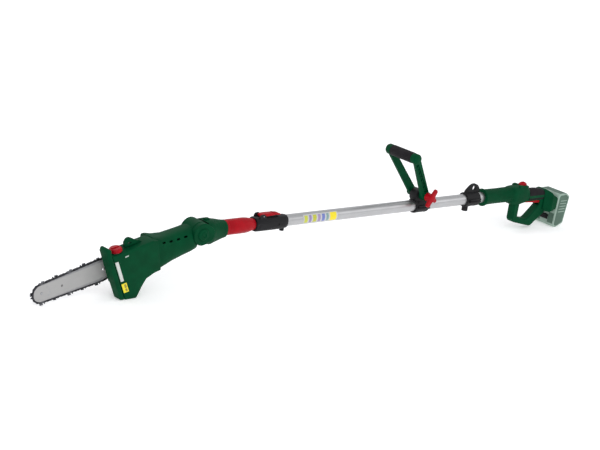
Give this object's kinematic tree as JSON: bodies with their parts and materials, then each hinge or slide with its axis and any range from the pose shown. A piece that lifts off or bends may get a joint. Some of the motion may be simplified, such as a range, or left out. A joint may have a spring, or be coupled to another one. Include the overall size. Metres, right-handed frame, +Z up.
{
  "type": "telescoping pole saw",
  "caption": "Battery pole saw with a swivelling chainsaw head, a telescoping pole with a lever lock, a tilting front loop handle, a strap eye and a rear trigger handle.",
  "frame": {"origin": "on the floor, under the middle of the saw's bounding box, as it rests on its head's foot and the battery's front edge", "axes": "+X along the pole from the saw head toward the battery, +Z up, +Y away from the side that carries the oil window"},
  "size_m": [1.8004, 0.116, 0.2792],
  "materials": {
    "green_plastic": "moulded, lightly textured",
    "red_plastic": "smooth moulded",
    "black_plastic": "moulded, lightly textured",
    "grey_plastic": "moulded",
    "clear_window": "polished",
    "soft_rubber": "soft overmould",
    "pole_aluminium": "satin anodised",
    "chain_steel": "dark oiled",
    "plain_steel": "brushed"
  },
  "bodies": {
    "pole": {"outer_tube": "pole_aluminium", "lock_body": "black_plastic", "lever_pin": "plain_steel", "lock_screw": "plain_steel", "handle_shell_left": "green_plastic", "handle_shell_right": "green_plastic", "grip_rubber": "soft_rubber", "power_switch": "black_plastic", "terminal_block": "black_plastic", "coiled_lead": "black_plastic"},
    "boom": {"inner_tube": "pole_aluminium", "inner_tube_plug": "black_plastic", "inner_lead": "black_plastic", "swivel_yoke": "green_plastic"},
    "sleeve": {"coupling_sleeve": "red_plastic"},
    "swivel_button": {"swivel_button": "green_plastic"},
    "head": {"head_shell_left": "green_plastic", "head_shell_right": "green_plastic", "front_bumper": "green_plastic", "oil_tank": "grey_plastic", "oil_window": "clear_window", "oil_pump": "black_plastic", "branch_hook": "green_plastic", "motor_can": "plain_steel", "bearing_near": "plain_steel", "bearing_far": "plain_steel", "guide_bar": "plain_steel", "saw_chain": "chain_steel", "bar_stud": "plain_steel", "sprocket_cover": "black_plastic", "detent_disc": "plain_steel", "pivot_bolt": "plain_steel"},
    "motor_rotor": {"motor_shaft": "plain_steel", "motor_pinion": "plain_steel"},
    "drive": {"gear_shaft": "plain_steel", "bevel_gear": "plain_steel", "drive_sprocket": "plain_steel"},
    "nose_wheel": {"nose_sprocket": "plain_steel"},
    "oil_cap": {"oil_cap": "red_plastic"},
    "cover_knob": {"cover_knob": "red_plastic"},
    "lock_lever": {"lock_lever": "red_plastic"},
    "handle_clamp": {"handle_clamp_upper": "black_plastic", "handle_clamp_lower": "black_plastic", "clamp_bolt": "plain_steel"},
    "front_handle": {"d_handle": "green_plastic", "d_grip_rubber": "soft_rubber"},
    "wing_knob": {"wing_knob": "red_plastic"},
    "strap_clamp": {"strap_clamp_upper": "black_plastic", "strap_clamp_lower": "black_plastic", "strap_screw": "plain_steel"},
    "trigger": {"trigger": "red_plastic"},
    "lock_off": {"lock_off_button": "red_plastic"},
    "battery": {"battery_shell_front": "grey_plastic", "battery_shell_rear": "grey_plastic", "cell_1": "green_plastic", "cell_2": "green_plastic", "cell_3": "green_plastic", "cell_4": "green_plastic", "cell_5": "green_plastic"},
    "battery_latch": {"battery_latch": "black_plastic"}
  },
  "joints": [
    {"name": "telescope", "type": "slide", "parent": "pole", "child": "boom", "axis": [-0.9997, 0, 0.0242], "range_m": [0, 0.45]},
    {"name": "head_swivel", "type": "hinge", "parent": "boom", "child": "head", "pos_m": [-0.44237, 0, 0.13511], "axis": [0, 1, 0], "range_deg": [-35, 13.5]},
    {"name": "sleeve_turn", "type": "hinge", "parent": "boom", "child": "sleeve", "pos_m": [-0.29643, 0, 0.13058], "axis": [0.9997, 0, -0.0242], "range_deg": [0, 90]},
    {"name": "swivel_button_press", "type": "slide", "parent": "boom", "child": "swivel_button", "axis": [0, 1, 0], "range_m": [0, 0.004], "stiffness_N_per_m": 600, "springref_m": -0.002},
    {"name": "drive_spin", "type": "hinge", "parent": "head", "child": "drive", "pos_m": [-0.63019, 0, 0.08099], "axis": [0, 1, 0], "continuous": true},
    {"name": "motor_spin", "type": "hinge", "parent": "head", "child": "motor_rotor", "pos_m": [-0.53731, 0, 0.10093], "axis": [0.9777, 0, 0.2098], "continuous": true},
    {"name": "nose_spin", "type": "hinge", "parent": "head", "child": "nose_wheel", "pos_m": [-0.86925, 0.012, 0.02969], "axis": [0, 1, 0], "continuous": true},
    {"name": "oil_cap_turn", "type": "hinge", "parent": "head", "child": "oil_cap", "pos_m": [-0.68947, -0.018, 0.1189], "axis": [-0.2098, 0, 0.9777], "range_deg": [0, 270]},
    {"name": "cover_knob_turn", "type": "hinge", "parent": "head", "child": "cover_knob", "pos_m": [-0.6693, 0.04, 0.0726], "axis": [0, 1, 0], "continuous": true},
    {"name": "lock_lever_lift", "type": "hinge", "parent": "pole", "child": "lock_lever", "pos_m": [-0.23394, 0, 0.15007], "axis": [0, -1, 0], "range_deg": [0, 95]},
    {"name": "handle_clamp_slide", "type": "slide", "parent": "pole", "child": "handle_clamp", "axis": [0.9997, 0, -0.0242], "range_m": [-0.15, 0.04]},
    {"name": "front_handle_tilt", "type": "hinge", "parent": "handle_clamp", "child": "front_handle", "pos_m": [0.31818, 0, 0.1487], "axis": [0, 1, 0], "range_deg": [-30, 30]},
    {"name": "wing_knob_turn", "type": "hinge", "parent": "handle_clamp", "child": "wing_knob", "pos_m": [0.31818, -0.045, 0.1487], "axis": [0, 1, 0], "continuous": true},
    {"name": "strap_clamp_slide", "type": "slide", "parent": "pole", "child": "strap_clamp", "axis": [0.9997, 0, -0.0242], "range_m": [-0.08, 0.012]},
    {"name": "trigger_pull", "type": "hinge", "parent": "pole", "child": "trigger", "pos_m": [0.73873, 0, 0.0835], "axis": [0, -1, 0], "range_deg": [0, 4.5], "stiffness_Nm_per_rad": 1.2, "springref_deg": -5.73},
    {"name": "lock_off_press", "type": "slide", "parent": "pole", "child": "lock_off", "axis": [-0.0242, 0, -0.9997], "range_m": [0, 0.003], "stiffness_N_per_m": 500, "springref_m": -0.002},
    {"name": "battery_slide", "type": "slide", "parent": "pole", "child": "battery", "axis": [-0.087, 0, -0.9962], "range_m": [0, 0.095]},
    {"name": "battery_latch_press", "type": "slide", "parent": "battery", "child": "battery_latch", "axis": [0.9997, 0, -0.0242], "range_m": [0, 0.0025], "stiffness_N_per_m": 800, "springref_m": -0.0015}
  ],
  "couplings": [
    {"joint": "motor_spin", "follows": "drive_spin", "ratio": 4},
    {"joint": "nose_spin", "follows": "drive_spin", "ratio": 0.75}
  ]
}
